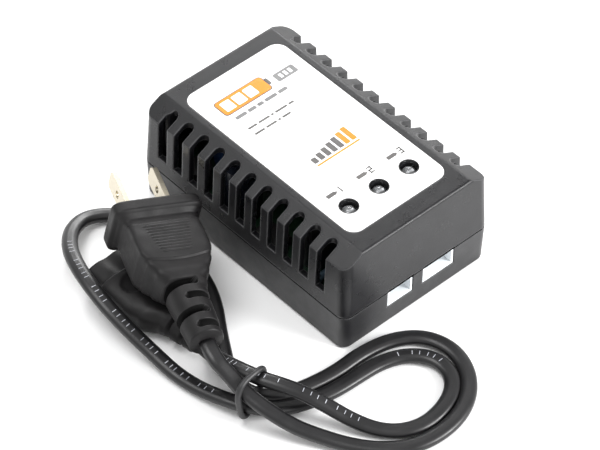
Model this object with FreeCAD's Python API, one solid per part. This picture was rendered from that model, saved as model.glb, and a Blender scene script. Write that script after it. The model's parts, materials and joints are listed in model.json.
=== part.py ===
"""Balance battery charger for two- and three-cell model packs, with its loose mains lead.

Frame: millimetres, +Z up, origin at the centre of the charger's underside. The long axis is Y,
the two balance sockets face -Y and the mains inlet faces +Y. The lead lies on the -X side, on the
surface that the charger stands on.
"""
import FreeCAD, Part
import math
import os

from FreeCAD import Vector

os.makedirs("parts", exist_ok=True)

# ---------------------------------------------------------------- driving dimensions, case
LENGTH = 90.0            # along Y
WIDTH = 59.0             # along X
HEIGHT = 36.5            # along Z
SPLIT_Z = 13.6           # where the two shells meet
WALL = 2.0
TOP_DRAFT = 0.9          # how far each side leans in, from the split to the top
BASE_DRAFT = 0.35        # the same, from the split to the underside
CORNER_R = 3.2           # upright corners
CHAMFER_IN = 6.95        # long top edges: how far in the bevel runs
CHAMFER_DROP = 3.8       # and how far down
EDGE_R = 0.8             # softened top edges
REVEAL = 0.4             # dark groove at the split
TONGUE_T = 0.9           # lip of the bottom shell that locates the top shell
TONGUE_H = 1.3

VENT_COUNT = 11          # on each long side
VENT_PITCH = 7.0
VENT_FIRST_Y = 35.9
VENT_WIDTH = 3.9
VENT_SILL_Z = 18.6
VENT_INNER_X = 23.1      # where a slot ends on the bevel

LABEL_HALF_W = 19.4
LABEL_Y0 = -37.2
LABEL_Y1 = 38.0
LABEL_R = 4.0
LABEL_T = 0.5

LED_PITCH = 12.0
LED_Y = -27.6
LED_R = 2.5
LED_TOP_Z = 35.7
BEZEL_R = 3.1

TOWER_X = 23.0           # screw towers
TOWER_Y = 39.8
TOWER_R = 3.2
SCREW_R = 1.25
SCREW_HEAD_R = 2.6

# ---------------------------------------------------------------- driving dimensions, inside
BOARD_TOP = 7.0
BOARD_T = 1.6
BOARD_W = 51.0
BOARD_L = 84.0
PIN_PITCH = 2.5          # balance socket pins
SOCKET_H = 6.6
SOCKET_DEPTH = 11.5
SOCKET_FACE_Y = -LENGTH / 2 + 0.3
SOCKETS = {"2s": (3, -6.7), "3s": (4, 8.8)}     # name: pins, centre X
INLET_W = 20.0
INLET_H = 10.4
INLET_DEPTH = 14.0
INLET_PIN_R = 1.2
INLET_PIN_GAP = 8.6      # between the pins' axes
INLET_Z = BOARD_TOP + INLET_H / 2
INLET_MOUTH_Y = LENGTH / 2 - 0.3
CHOKE_LIFT = 9.4         # centre of the choke's upright ring above the board

# ---------------------------------------------------------------- driving dimensions, lead
CORD_D = 4.2             # round cord with the section area of the 5.0 x 3.0 flat twin cord
CORD_R = CORD_D / 2
PLUG_ORIGIN = Vector(-47.5, 20.0, 19.7)          # centre of the face that the blades leave
PLUG_YAW, PLUG_PITCH, PLUG_ROLL = 21.6, 3.8, 11.0
PLUG_W = 28.0
PLUG_H = 17.6
PLUG_LEN = 50.0
COLLAR_LEN = 4.2
BLADE_GAP = 12.7
BLADE_LEN = 17.2
BLADE_W = 6.3
BLADE_T = 1.5
CONN_X = -61.5           # the connector lies along Y
CONN_Z = 5.22
CONN_NOSE_Y = 24.5
CONN_TAIL_Y = -17.5
CONN_W = 19.5
CONN_H = 10.4
TIE_CENTRE = Vector(-63.8, -43.1, 0.0)
TIE_DIR = Vector(0.29, -0.957, 0.0)              # along the bunch of cord that it holds
TIE_T = 1.6


# ---------------------------------------------------------------- helpers
def box(x0, x1, y0, y1, z0, z1):
    return Part.makeBox(x1 - x0, y1 - y0, z1 - z0, Vector(x0, y0, z0))


def cyl(r, h, x, y, z, axis=Vector(0, 0, 1)):
    return Part.makeCylinder(r, h, Vector(x, y, z), axis)


def rounded_wire(cx, cy, w, l, r, z):
    """Rectangle w by l with rounded corners, flat at height z."""
    x0, x1, y0, y1 = cx - w / 2, cx + w / 2, cy - l / 2, cy + l / 2
    k = r * (1 - math.sqrt(0.5))
    p = [Vector(x0 + r, y0, z), Vector(x1 - r, y0, z), Vector(x1, y0 + r, z), Vector(x1, y1 - r, z),
         Vector(x1 - r, y1, z), Vector(x0 + r, y1, z), Vector(x0, y1 - r, z), Vector(x0, y0 + r, z)]
    mids = [Vector(x1 - k, y0 + k, z), Vector(x1 - k, y1 - k, z), Vector(x0 + k, y1 - k, z),
            Vector(x0 + k, y0 + k, z)]
    edges = []
    for i in range(4):
        edges.append(Part.LineSegment(p[2 * i], p[2 * i + 1]).toShape())
        edges.append(Part.Arc(p[2 * i + 1], mids[i], p[(2 * i + 2) % 8]).toShape())
    return Part.Wire(edges)


def rounded_block(w0, l0, z0, w1, l1, z1, r, cx=0.0, cy=0.0):
    """Upright block with rounded corners, of one size at z0 and another at z1."""
    wires = [rounded_wire(cx, cy, w0, l0, r, z0), rounded_wire(cx, cy, w1, l1, r, z1)]
    return Part.makeLoft(wires, True, True)


def prism(points_xz, y0, y1):
    """Outline in the XZ plane, carried along Y."""
    pts = [Vector(x, y0, z) for x, z in points_xz]
    face = Part.Face(Part.makePolygon(pts + [pts[0]]))
    return face.extrude(Vector(0, y1 - y0, 0))


def fuse(shapes):
    out = shapes[0]
    if len(shapes) > 1:
        out = out.multiFuse(shapes[1:])
    return out.removeSplitter()


def mirror_x(shape):
    return shape.mirror(Vector(0, 0, 0), Vector(1, 0, 0))


NODES = {}


def keep(name, shapes):
    """One node: a solid, or a group of separate solids."""
    if not isinstance(shapes, list):
        shapes = [shapes]
    solids = [s for shape in shapes for s in shape.Solids]
    NODES[name] = solids[0] if len(solids) == 1 else Part.makeCompound(solids)


def towers():
    return [(sx * TOWER_X, sy * TOWER_Y) for sx in (-1, 1) for sy in (-1, 1)]


# ---------------------------------------------------------------- case
def bevels(inner):
    """What the two long bevels take off the top, outside or one wall further in."""
    run = math.hypot(CHAMFER_IN, CHAMFER_DROP)
    slope = CHAMFER_IN / CHAMFER_DROP
    x = WIDTH / 2 - TOP_DRAFT - CHAMFER_IN
    z = HEIGHT
    if inner:
        nx, nz = CHAMFER_DROP / run, CHAMFER_IN / run
        x += -WALL * nx + WALL * (1 - nz) * slope
        z -= WALL
    reach = 1.8
    far_x, low_z = x + reach * CHAMFER_IN, z - reach * CHAMFER_DROP
    cut = prism([(x, z), (far_x, low_z), (far_x, z + 6), (x, z + 6)], -LENGTH, LENGTH)
    return [cut, mirror_x(cut)]


def vent_cuts():
    cuts = []
    for i in range(VENT_COUNT):
        y = VENT_FIRST_Y - i * VENT_PITCH
        r = VENT_WIDTH / 2
        x = VENT_INNER_X + r
        slot = box(x, WIDTH, y - r, y + r, VENT_SILL_Z, HEIGHT + 2)
        slot = slot.fuse(cyl(r, HEIGHT + 2 - VENT_SILL_Z, x, y, VENT_SILL_Z))
        cuts += [slot, mirror_x(slot)]
    return cuts


def socket_cuts(gap):
    """Openings in the front and rear ends for the sockets and the inlet."""
    cuts = []
    for pins, x in SOCKETS.values():
        half = socket_width(pins) / 2 + gap
        cuts.append(box(x - half, x + half, -LENGTH, -LENGTH / 2 + WALL + 1.5,
                        BOARD_TOP - gap, BOARD_TOP + SOCKET_H + gap))
    half = INLET_W / 2 + gap
    cuts.append(box(-half, half, LENGTH / 2 - WALL - 1.5, LENGTH, BOARD_TOP - gap,
                    BOARD_TOP + INLET_H + gap))
    return cuts


def socket_width(pins):
    return PIN_PITCH * (pins - 1) + 4.9


def top_shell():
    w1, l1 = WIDTH - 2 * TOP_DRAFT, LENGTH - 2 * TOP_DRAFT
    outer = rounded_block(WIDTH, LENGTH, SPLIT_Z, w1, l1, HEIGHT, CORNER_R)
    for cut in bevels(False):
        outer = outer.cut(cut)
    rim = [e for e in outer.Edges if e.BoundBox.ZMin > HEIGHT - 0.01]
    outer = outer.makeFillet(EDGE_R, rim)
    inner = rounded_block(WIDTH - 2 * WALL, LENGTH - 2 * WALL, SPLIT_Z - 1, w1 - 2 * WALL,
                          l1 - 2 * WALL, HEIGHT - WALL, CORNER_R - WALL / 2)
    for cut in bevels(True):
        inner = inner.cut(cut)
    shell = outer.cut(inner)
    shell = shell.cut(Part.makeCompound(vent_cuts()))
    posts = []
    for x, y in towers():
        post = cyl(TOWER_R, HEIGHT - SPLIT_Z, x, y, SPLIT_Z).common(outer)
        posts.append(post)
    shell = shell.multiFuse(posts)
    for x, y in towers():
        shell = shell.cut(cyl(SCREW_R + 0.05, 13.0, x, y, SPLIT_Z - 1))
    pocket = rounded_block(2 * LABEL_HALF_W, LABEL_Y1 - LABEL_Y0, HEIGHT - LABEL_T, 2 * LABEL_HALF_W,
                           LABEL_Y1 - LABEL_Y0, HEIGHT + 1, LABEL_R, 0, (LABEL_Y0 + LABEL_Y1) / 2)
    shell = shell.cut(pocket)
    for i in (-1, 0, 1):
        shell = shell.cut(cyl(BEZEL_R, 8, i * LED_PITCH, LED_Y, HEIGHT - 6))
    for cut in socket_cuts(0.25):
        shell = shell.cut(cut)
    return shell


def bottom_shell():
    w0, l0 = WIDTH - 2 * BASE_DRAFT, LENGTH - 2 * BASE_DRAFT
    z_reveal = SPLIT_Z - REVEAL
    outer = rounded_block(w0, l0, 0, WIDTH, LENGTH, z_reveal, CORNER_R)
    under = [e for e in outer.Edges if e.BoundBox.ZMax < 0.01]
    outer = outer.makeFillet(EDGE_R, under)
    collar = rounded_block(WIDTH - 2 * REVEAL, LENGTH - 2 * REVEAL, z_reveal, WIDTH - 2 * REVEAL,
                           LENGTH - 2 * REVEAL, SPLIT_Z, CORNER_R)
    wi, li = WIDTH - 2 * WALL - 0.2, LENGTH - 2 * WALL - 0.2
    tongue = rounded_block(wi, li, SPLIT_Z, wi, li, SPLIT_Z + TONGUE_H, CORNER_R - WALL / 2)
    shell = outer.multiFuse([collar, tongue])
    hollow = rounded_block(w0 - 2 * WALL, l0 - 2 * WALL, WALL, wi - 2 * TONGUE_T, li - 2 * TONGUE_T,
                           SPLIT_Z + TONGUE_H + 1, CORNER_R - WALL / 2)
    shell = shell.cut(hollow)
    posts = [cyl(TOWER_R, SPLIT_Z - WALL, x, y, WALL) for x, y in towers()]
    posts += [cyl(1.8, BOARD_TOP - BOARD_T - WALL, x, y, WALL) for x, y in board_posts()]
    shell = shell.multiFuse(posts)
    for x, y in towers():
        clear = cyl(TOWER_R + 0.15, TONGUE_H + 2, x, y, SPLIT_Z)
        bore = cyl(SCREW_R + 0.15, SPLIT_Z + 2, x, y, -1)
        sink = cyl(SCREW_HEAD_R + 0.2, 4.0, x, y, -1)
        shell = shell.cut(clear).cut(bore).cut(sink)
    for cut in socket_cuts(0.25):
        shell = shell.cut(cut)
    return shell


def board_posts():
    return [(sx * 21.0, sy * 24.0) for sx in (-1, 1) for sy in (-1, 1)]


def label_panel():
    cy = (LABEL_Y0 + LABEL_Y1) / 2
    panel = rounded_block(2 * LABEL_HALF_W - 0.1, LABEL_Y1 - LABEL_Y0 - 0.1, HEIGHT - LABEL_T,
                          2 * LABEL_HALF_W - 0.1, LABEL_Y1 - LABEL_Y0 - 0.1, HEIGHT - 0.05,
                          LABEL_R, 0, cy)
    for i in (-1, 0, 1):
        panel = panel.cut(cyl(BEZEL_R, 3, i * LED_PITCH, LED_Y, HEIGHT - 2))
    return panel


def case_screws():
    screws = []
    for x, y in towers():
        head = cyl(SCREW_HEAD_R, 1.6, x, y, 1.35)
        for w, l in ((0.7, 2.8), (2.8, 0.7)):
            head = head.cut(box(x - w / 2, x + w / 2, y - l / 2, y + l / 2, 1.0, 2.2))
        screws.append(head.fuse(cyl(SCREW_R, 20.0, x, y, 2.95)))
    return screws


def led_bezel(x):
    ring = cyl(BEZEL_R - 0.03, 3.4, x, LED_Y, HEIGHT - 3.3)
    ring = ring.cut(cyl(LED_R + 0.08, 5, x, LED_Y, HEIGHT - 4))
    return ring.cut(Part.makeCone(LED_R, BEZEL_R - 0.25, 1.4, Vector(x, LED_Y, HEIGHT - 1.3)))


def led_lens(x):
    body = cyl(LED_R, LED_TOP_Z - LED_R - 27.5, x, LED_Y, 27.5)
    dome = Part.makeSphere(LED_R, Vector(x, LED_Y, LED_TOP_Z - LED_R))
    return fuse([body, dome, cyl(2.9, 1.0, x, LED_Y, 26.5)])


def led_legs():
    return [box(i * LED_PITCH + s * 1.27 - 0.25, i * LED_PITCH + s * 1.27 + 0.25, LED_Y - 0.25,
                LED_Y + 0.25, BOARD_TOP, 26.5) for i in (-1, 0, 1) for s in (-1, 1)]


# ---------------------------------------------------------------- sockets and inlet
def balance_socket(pins, x):
    """Side-entry shrouded header: thin walls, keyed roof, open to -Y."""
    w = socket_width(pins)
    y0, y1 = SOCKET_FACE_Y, SOCKET_FACE_Y + SOCKET_DEPTH
    z0, z1 = BOARD_TOP, BOARD_TOP + SOCKET_H
    body = box(x - w / 2, x + w / 2, y0, y1, z0, z1)
    cavity = box(x - w / 2 + 0.85, x + w / 2 - 0.85, y0 - 1, y1 - 3.5, z0 + 0.9, z1 - 1.0)
    body = body.cut(cavity)
    for s in (-1, 1):
        xk = x + s * (w / 2 - 2.6)
        body = body.cut(box(xk - 0.6, xk + 0.6, y0 - 1, y0 + 6.0, z1 - 1.2, z1 + 1))
    for i in range(pins):
        xp = pin_x(pins, x, i)
        body = body.cut(box(xp - 0.32, xp + 0.32, y0, y1 + 1, z0 + 2.98, z0 + 3.62))
    return body


def pin_x(pins, x, i):
    return x + (i - (pins - 1) / 2) * PIN_PITCH


def balance_pins(pins, x):
    """Square pins that run back through the socket and turn down into the board."""
    out = []
    for i in range(pins):
        xp = pin_x(pins, x, i)
        y0, y1 = SOCKET_FACE_Y + 3.9, SOCKET_FACE_Y + SOCKET_DEPTH + 1.6
        z = BOARD_TOP + 3.3
        level = box(xp - 0.3, xp + 0.3, y0, y1, z - 0.3, z + 0.3)
        leg = box(xp - 0.3, xp + 0.3, y1 - 0.6, y1, BOARD_TOP, z + 0.3)
        out.append(level.fuse(leg).removeSplitter())
    return out


def inlet_body():
    y1 = INLET_MOUTH_Y
    body = box(-INLET_W / 2, INLET_W / 2, y1 - INLET_DEPTH, y1, BOARD_TOP, BOARD_TOP + INLET_H)
    cavity = figure_eight(8.6, 4.4, y1 - 9.0, y1 + 1.0, 0.0, INLET_Z)
    body = body.cut(cavity)
    for s in (-1, 1):
        body = body.cut(cyl(INLET_PIN_R + 0.02, 9, s * INLET_PIN_GAP / 2, y1 - INLET_DEPTH - 1,
                            INLET_Z, Vector(0, 1, 0)))
    return body


def figure_eight(gap, r, y0, y1, cx, cz, waist=0.8):
    """Two round lobes joined by a waist, along Y."""
    lobes = [cyl(r, y1 - y0, cx + s * gap / 2, y0, cz, Vector(0, 1, 0)) for s in (-1, 1)]
    h = r * waist
    return fuse(lobes + [box(cx - gap / 2, cx + gap / 2, y0, y1, cz - h, cz + h)])


def inlet_pins():
    out = []
    for s in (-1, 1):
        x = s * INLET_PIN_GAP / 2
        y0, y1 = INLET_MOUTH_Y - INLET_DEPTH - 1.6, INLET_MOUTH_Y - 1.0
        pin = cyl(INLET_PIN_R, y1 - y0 - INLET_PIN_R, x, y0, INLET_Z, Vector(0, 1, 0))
        tip = Part.makeSphere(INLET_PIN_R, Vector(x, y1 - INLET_PIN_R, INLET_Z))
        tail = box(x - 0.6, x + 0.6, y0, y0 + 1.0, BOARD_TOP, INLET_Z)
        out.append(fuse([pin, tip, tail]))
    return out


# ---------------------------------------------------------------- circuit board and parts on it
def circuit_board():
    board = box(-BOARD_W / 2, BOARD_W / 2, -BOARD_L / 2, BOARD_L / 2, BOARD_TOP - BOARD_T, BOARD_TOP)
    notch = TOWER_R + 0.6
    for x, y in towers():
        board = board.cut(box(x - notch, x + notch, y - notch, y + notch, 0, 10))
        board = board.cut(box(min(x, 2 * x), max(x, 2 * x), min(y, 2 * y), max(y, 2 * y), 0, 10))
    return board


def can(r, h, x, y, lip=0.3):
    """Upright round part on the board, with a groove near its foot."""
    body = cyl(r, h, x, y, BOARD_TOP)
    groove = cyl(r + 1, 1.0, x, y, BOARD_TOP + 1.6).cut(cyl(r - lip, 1.0, x, y, BOARD_TOP + 1.6))
    return body.cut(groove)


def disc_part(r, t, x, y, z, along_x):
    """Coated disc that stands on edge above two legs."""
    axis = Vector(1, 0, 0) if along_x else Vector(0, 1, 0)
    start = Vector(x, y, z) - axis * (t / 2)
    disc = Part.makeCylinder(r, t, start, axis)
    legs = []
    for s in (-1, 1):
        lx, ly = (x, y + s * 2.5) if along_x else (x + s * 2.5, y)
        legs.append(cyl(0.35, z - BOARD_TOP, lx, ly, BOARD_TOP))
    return fuse([disc] + legs)


def line_choke(x, y):
    core = Part.makeTorus(5.2, 2.0, Vector(x, y, BOARD_TOP + CHOKE_LIFT), Vector(1, 0, 0))
    base = box(x - 4.5, x + 4.5, y - 5.5, y + 5.5, BOARD_TOP, BOARD_TOP + 1.2)
    return core, base


def choke_winding(x, y):
    """Two wound halves of the ring, each a fat sleeve over a third of the turn."""
    halves = []
    for start in (-50, 130):
        sleeve = Part.makeTorus(5.2, 2.9, Vector(0, 0, 0), Vector(0, 0, 1), -180, 180, 100)
        sleeve = sleeve.cut(Part.makeTorus(5.2, 2.05))
        sleeve.rotate(Vector(0, 0, 0), Vector(0, 0, 1), start)
        sleeve.rotate(Vector(0, 0, 0), Vector(0, 1, 0), 90)
        sleeve.translate(Vector(x, y, BOARD_TOP + CHOKE_LIFT))
        halves.append(sleeve)
    return halves


def transformer(x, y):
    """E cores, bobbin and windings of the switching transformer, coil axis along X."""
    w, l, h = 19.0, 20.0, 17.0
    z0 = BOARD_TOP + 2.0
    frame = box(x - 3.0, x + 3.0, y - l / 2, y + l / 2, z0, z0 + h)
    frame = frame.cut(box(x - 4, x + 4, y - l / 2 + 3, y + l / 2 - 3, z0 + 3, z0 + h - 3))
    frame = frame.fuse(box(x - 3.0, x + 3.0, y - 2.6, y + 2.6, z0, z0 + h)).removeSplitter()
    hole = box(x - 3.05, x + 3.05, y - 2.65, y + 2.65, z0 - 1, z0 + h + 1)
    flanges = []
    for zf in (z0 + 3.1, z0 + h - 4.1):
        flange = box(x - w / 2, x + w / 2, y - l / 2 + 3.1, y + l / 2 - 3.1, zf, zf + 1.0)
        flanges.append(flange.cut(hole))
    tube = box(x - 3.9, x + 3.9, y - 3.5, y + 3.5, z0 + 3.1, z0 + h - 3.1).cut(hole)
    ears = []
    for s in (-1, 1):
        ear = box(x + s * (w / 2 - 1) - 1, x + s * (w / 2 - 1) + 1, y - 6.5, y + 6.5, BOARD_TOP, z0 + 4.0)
        ears.append(ear)
    bobbin = fuse(flanges + [tube] + ears)
    coil = box(x - 8.0, x + 8.0, y - 6.6, y + 6.6, z0 + 4.2, z0 + h - 4.2)
    coil = coil.makeFillet(2.5, [e for e in coil.Edges if e.BoundBox.ZLength > 1])
    coil = coil.cut(box(x - 3.95, x + 3.95, y - 3.55, y + 3.55, z0, z0 + h))
    return frame, bobbin, coil


def tab_device(x, y, z0=None):
    """Upright three-leg power device, its metal tab facing +Y."""
    z0 = BOARD_TOP + 3.0 if z0 is None else z0
    body = box(x - 5.0, x + 5.0, y - 4.4, y - 1.2, z0, z0 + 9.0)
    tab = box(x - 5.0, x + 5.0, y - 1.2, y, z0, z0 + 15.0)
    tab = tab.cut(cyl(1.8, 4, x, y - 3, z0 + 12.2, Vector(0, 1, 0)))
    legs = [box(x + i * 2.54 - 0.4, x + i * 2.54 + 0.4, y - 3.0, y - 2.4, BOARD_TOP, z0) for i in (-1, 0, 1)]
    return fuse([body, tab] + legs)


def small_device(x, y):
    """Half-round three-leg transistor."""
    z0 = BOARD_TOP + 3.0
    body = cyl(2.3, 4.6, x, y, z0).cut(box(x - 4, x + 4, y + 1.3, y + 5, z0 - 1, z0 + 6))
    legs = [box(x + i * 1.27 - 0.2, x + i * 1.27 + 0.2, y - 0.2, y + 0.2, BOARD_TOP, z0) for i in (-1, 0, 1)]
    return fuse([body] + legs)


def axial_part(x, y, r, length, lift):
    """Round part that lies above the board along X, on its two wires."""
    z = BOARD_TOP + lift
    body = cyl(r, length, x - length / 2, y, z, Vector(1, 0, 0))
    half, reach = 0.35, length / 2 + 2.2
    wire = box(x - reach, x + reach, y - half, y + half, z - half, z + half)
    legs = []
    for s in (-1, 1):
        foot = x + s * (reach - half)
        legs.append(box(foot - half, foot + half, y - half, y + half, BOARD_TOP, z))
    return fuse([body, wire] + legs)


def chip(x, y, w, l, h, pins_per_side, pitch=2.54):
    body = box(x - w / 2, x + w / 2, y - l / 2, y + l / 2, BOARD_TOP + 0.6, BOARD_TOP + 0.6 + h)
    legs = []
    for i in range(pins_per_side):
        yl = y + (i - (pins_per_side - 1) / 2) * pitch
        for s in (-1, 1):
            xs = x + s * (w / 2 + 0.5)
            legs.append(box(min(x + s * w / 2, xs), max(x + s * w / 2, xs), yl - 0.3, yl + 0.3,
                            BOARD_TOP, BOARD_TOP + 0.6 + h / 2))
    return fuse([body] + legs)


def board_parts():
    keep("fuse", can(4.2, 8.0, -20.0, 30.0))
    keep("surge_absorber", disc_part(5.0, 4.0, -12.0, 25.0, BOARD_TOP + 8.0, True))
    ring, base = line_choke(17.0, 24.0)
    keep("line_choke_core", ring)
    keep("line_choke_base", base)
    keep("line_choke_winding", choke_winding(17.0, 24.0))
    keep("bridge_rectifier", chip(2.0, 22.0, 8.0, 8.4, 3.4, 2, 5.08))
    keep("bulk_capacitor", can(6.3, 20.0, -17.0, 13.5))
    keep("switching_controller", chip(-19.5, -3.0, 6.5, 9.6, 3.4, 4))
    core, bobbin, coil = transformer(3.0, 5.0)
    keep("transformer_core", core)
    keep("transformer_bobbin", bobbin)
    keep("transformer_winding", coil)
    keep("safety_capacitor", disc_part(4.0, 3.2, 20.0, 8.0, BOARD_TOP + 7.0, True))
    keep("optocoupler", chip(20.0, -2.0, 6.4, 4.6, 3.4, 2))
    keep("rectifier_diode", axial_part(-9.6, -11.0, 2.6, 9.0, 4.0))
    keep("output_capacitors", [can(4.0, 12.5, x, -11.5) for x in (2.0, 10.8, 19.6)])
    keep("cell_regulators", [tab_device(i * LED_PITCH - 1.0, -17.5) for i in (-1, 0, 1)])
    keep("heat_sink", box(-19.0, 19.0, -17.45, -16.2, BOARD_TOP, BOARD_TOP + 18.5))
    keep("cell_transistors", [small_device(i * LED_PITCH + 6.0, -28.0) for i in (-1, 0, 1)])
    keep("sense_resistors", [axial_part(x, -24.3, 1.3, 6.0, 2.0) for x in (-18.0, -5.5, 7.0)])
    keep("monitor_chip", chip(-18.0, -33.0, 6.0, 8.4, 1.8, 4, 2.0))


# ---------------------------------------------------------------- mains plug
def side_blend(sections):
    """Body that changes size along Y: (y, width, height, corner radius, centre z)."""
    wires = []
    for y, w, h, r, cz in sections:
        wire = rounded_wire(0, 0, w, h, r, 0)
        wire.rotate(Vector(0, 0, 0), Vector(1, 0, 0), 90)
        wire.translate(Vector(0, y, cz))
        wires.append(wire)
    return Part.makeLoft(wires, True, True)


def relief_slots(y_tail, places, r, core, width):
    """Slots that reach in from one side, then the other, and leave the core whole."""
    cuts = []
    for distance, side in places:
        y = y_tail + distance
        ends = sorted((-1.0 * side, side * 2 * r))
        half = box(ends[0], ends[1], y - width / 2, y + width / 2, -2 * r, 2 * r)
        cuts.append(half.cut(cyl(core, width + 2, 0, y - width / 2 - 1, 0, Vector(0, 1, 0))))
    return cuts


def plug_parts():
    """Two-blade plug, made with its blades along +Y and its face at y = 0, then laid down."""
    root = -30.0
    collar = side_blend([(-COLLAR_LEN, PLUG_W, PLUG_H, 4.5, 0), (-0.8, PLUG_W, PLUG_H, 4.5, 0),
                         (0, PLUG_W - 1.4, PLUG_H - 1.4, 3.8, 0)])
    body = side_blend([(-COLLAR_LEN, PLUG_W - 1.5, PLUG_H - 1.5, 4.0, 0), (-6.5, 23.0, 13.6, 3.6, 0),
                       (-9.0, 22.6, 14.6, 3.2, 0), (-19.0, 22.0, 14.6, 3.2, 0), (-24.0, 18.6, 13.4, 4.4, 0),
                       (root, 13.0, 12.6, 5.6, 0)])
    relief = side_blend([(root, 13.0, 12.6, 5.9, 0), (-PLUG_LEN, 10.4, 10.4, 5.0, 0)])
    for cut in relief_slots(-PLUG_LEN, ((18.8, -1), (13.7, 1), (8.2, -1), (3.0, 1)), 6.5, 2.9, 1.9):
        relief = relief.cut(cut)
    for i in range(10):
        y = -9.8 - 1.12 * i
        half = 6.4 - 0.26 * i
        for side in (-1, 1):
            z = sorted((6.85 * side, 8.0 * side))
            body = body.cut(box(-half, half, y - 0.28, y + 0.28, z[0], z[1]))
    moulding = fuse([collar, body, relief])
    blades = []
    for s in (-1, 1):
        x = s * BLADE_GAP / 2
        blade = box(x - BLADE_T / 2, x + BLADE_T / 2, -8.0, BLADE_LEN, -BLADE_W / 2, BLADE_W / 2)
        blade = blade.cut(cyl(1.2, 4, x - 2, 10.0, 0, Vector(1, 0, 0)))
        corners = [e for e in blade.Edges if e.BoundBox.YMin > BLADE_LEN - 0.01 and e.BoundBox.ZLength < 0.1]
        blades.append(blade.makeChamfer(1.2, corners))
        moulding = moulding.cut(box(x - BLADE_T / 2, x + BLADE_T / 2, -8.0, 1, -BLADE_W / 2, BLADE_W / 2))
    return moulding, blades


def plug_axes():
    """Unit vectors of the laid-down plug: to the right, along the blades, up."""
    yaw, pitch, roll = (math.radians(v) for v in (PLUG_YAW, PLUG_PITCH, PLUG_ROLL))
    back = Vector(-math.sin(yaw), -math.cos(yaw), 0)
    right = Vector(math.cos(yaw), -math.sin(yaw), 0)
    up = Vector(0, 0, 1)
    tilted = back * math.cos(pitch) - up * math.sin(pitch)
    up = up * math.cos(pitch) + back * math.sin(pitch)
    turned = right * math.cos(roll) - up * math.sin(roll)
    up = up * math.cos(roll) + right * math.sin(roll)
    return turned, tilted * -1, up


def lay_plug(shape):
    right, ahead, up = plug_axes()
    m = FreeCAD.Matrix(right.x, ahead.x, up.x, PLUG_ORIGIN.x, right.y, ahead.y, up.y, PLUG_ORIGIN.y,
                       right.z, ahead.z, up.z, PLUG_ORIGIN.z, 0, 0, 0, 1)
    return place(shape, m)


def place(shape, matrix):
    moved = shape.copy()
    moved.Placement = FreeCAD.Placement(matrix).multiply(moved.Placement)
    return moved


# ---------------------------------------------------------------- appliance connector
def connector_parts():
    root = -6.0
    nose_y = 16.5
    nose = figure_eight(8.6, 4.0, nose_y - 0.5, CONN_NOSE_Y, 0, 0, 0.78)
    body = side_blend([(root, 11.0, 9.8, 4.4, 0), (0.0, 16.5, CONN_H, 4.6, 0), (6.0, CONN_W, CONN_H, 4.6, 0),
                       (nose_y, CONN_W, CONN_H, 4.6, 0)])
    relief = side_blend([(CONN_TAIL_Y, 6.8, 6.8, 3.3, 0), (root, 9.6, 9.6, 4.6, 0)])
    for cut in relief_slots(CONN_TAIL_Y, ((9.0, -1), (6.6, 1), (4.2, -1), (2.0, 1)), 5.0, 2.3, 1.2):
        relief = relief.cut(cut)
    moulding = fuse([nose, body, relief])
    sleeves = []
    for s in (-1, 1):
        x = s * INLET_PIN_GAP / 2
        moulding = moulding.cut(cyl(1.75, 12.0, x, CONN_NOSE_Y - 11.0, 0, Vector(0, 1, 0)))
        sleeve = cyl(1.7, 9.0, x, CONN_NOSE_Y - 10.5, 0, Vector(0, 1, 0))
        sleeves.append(sleeve.cut(cyl(1.25, 11.0, x, CONN_NOSE_Y - 9.5, 0, Vector(0, 1, 0))))
    offset = Vector(CONN_X, 0, CONN_Z)
    for shape in [moulding] + sleeves:
        shape.translate(offset)
    return moulding, sleeves


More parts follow.
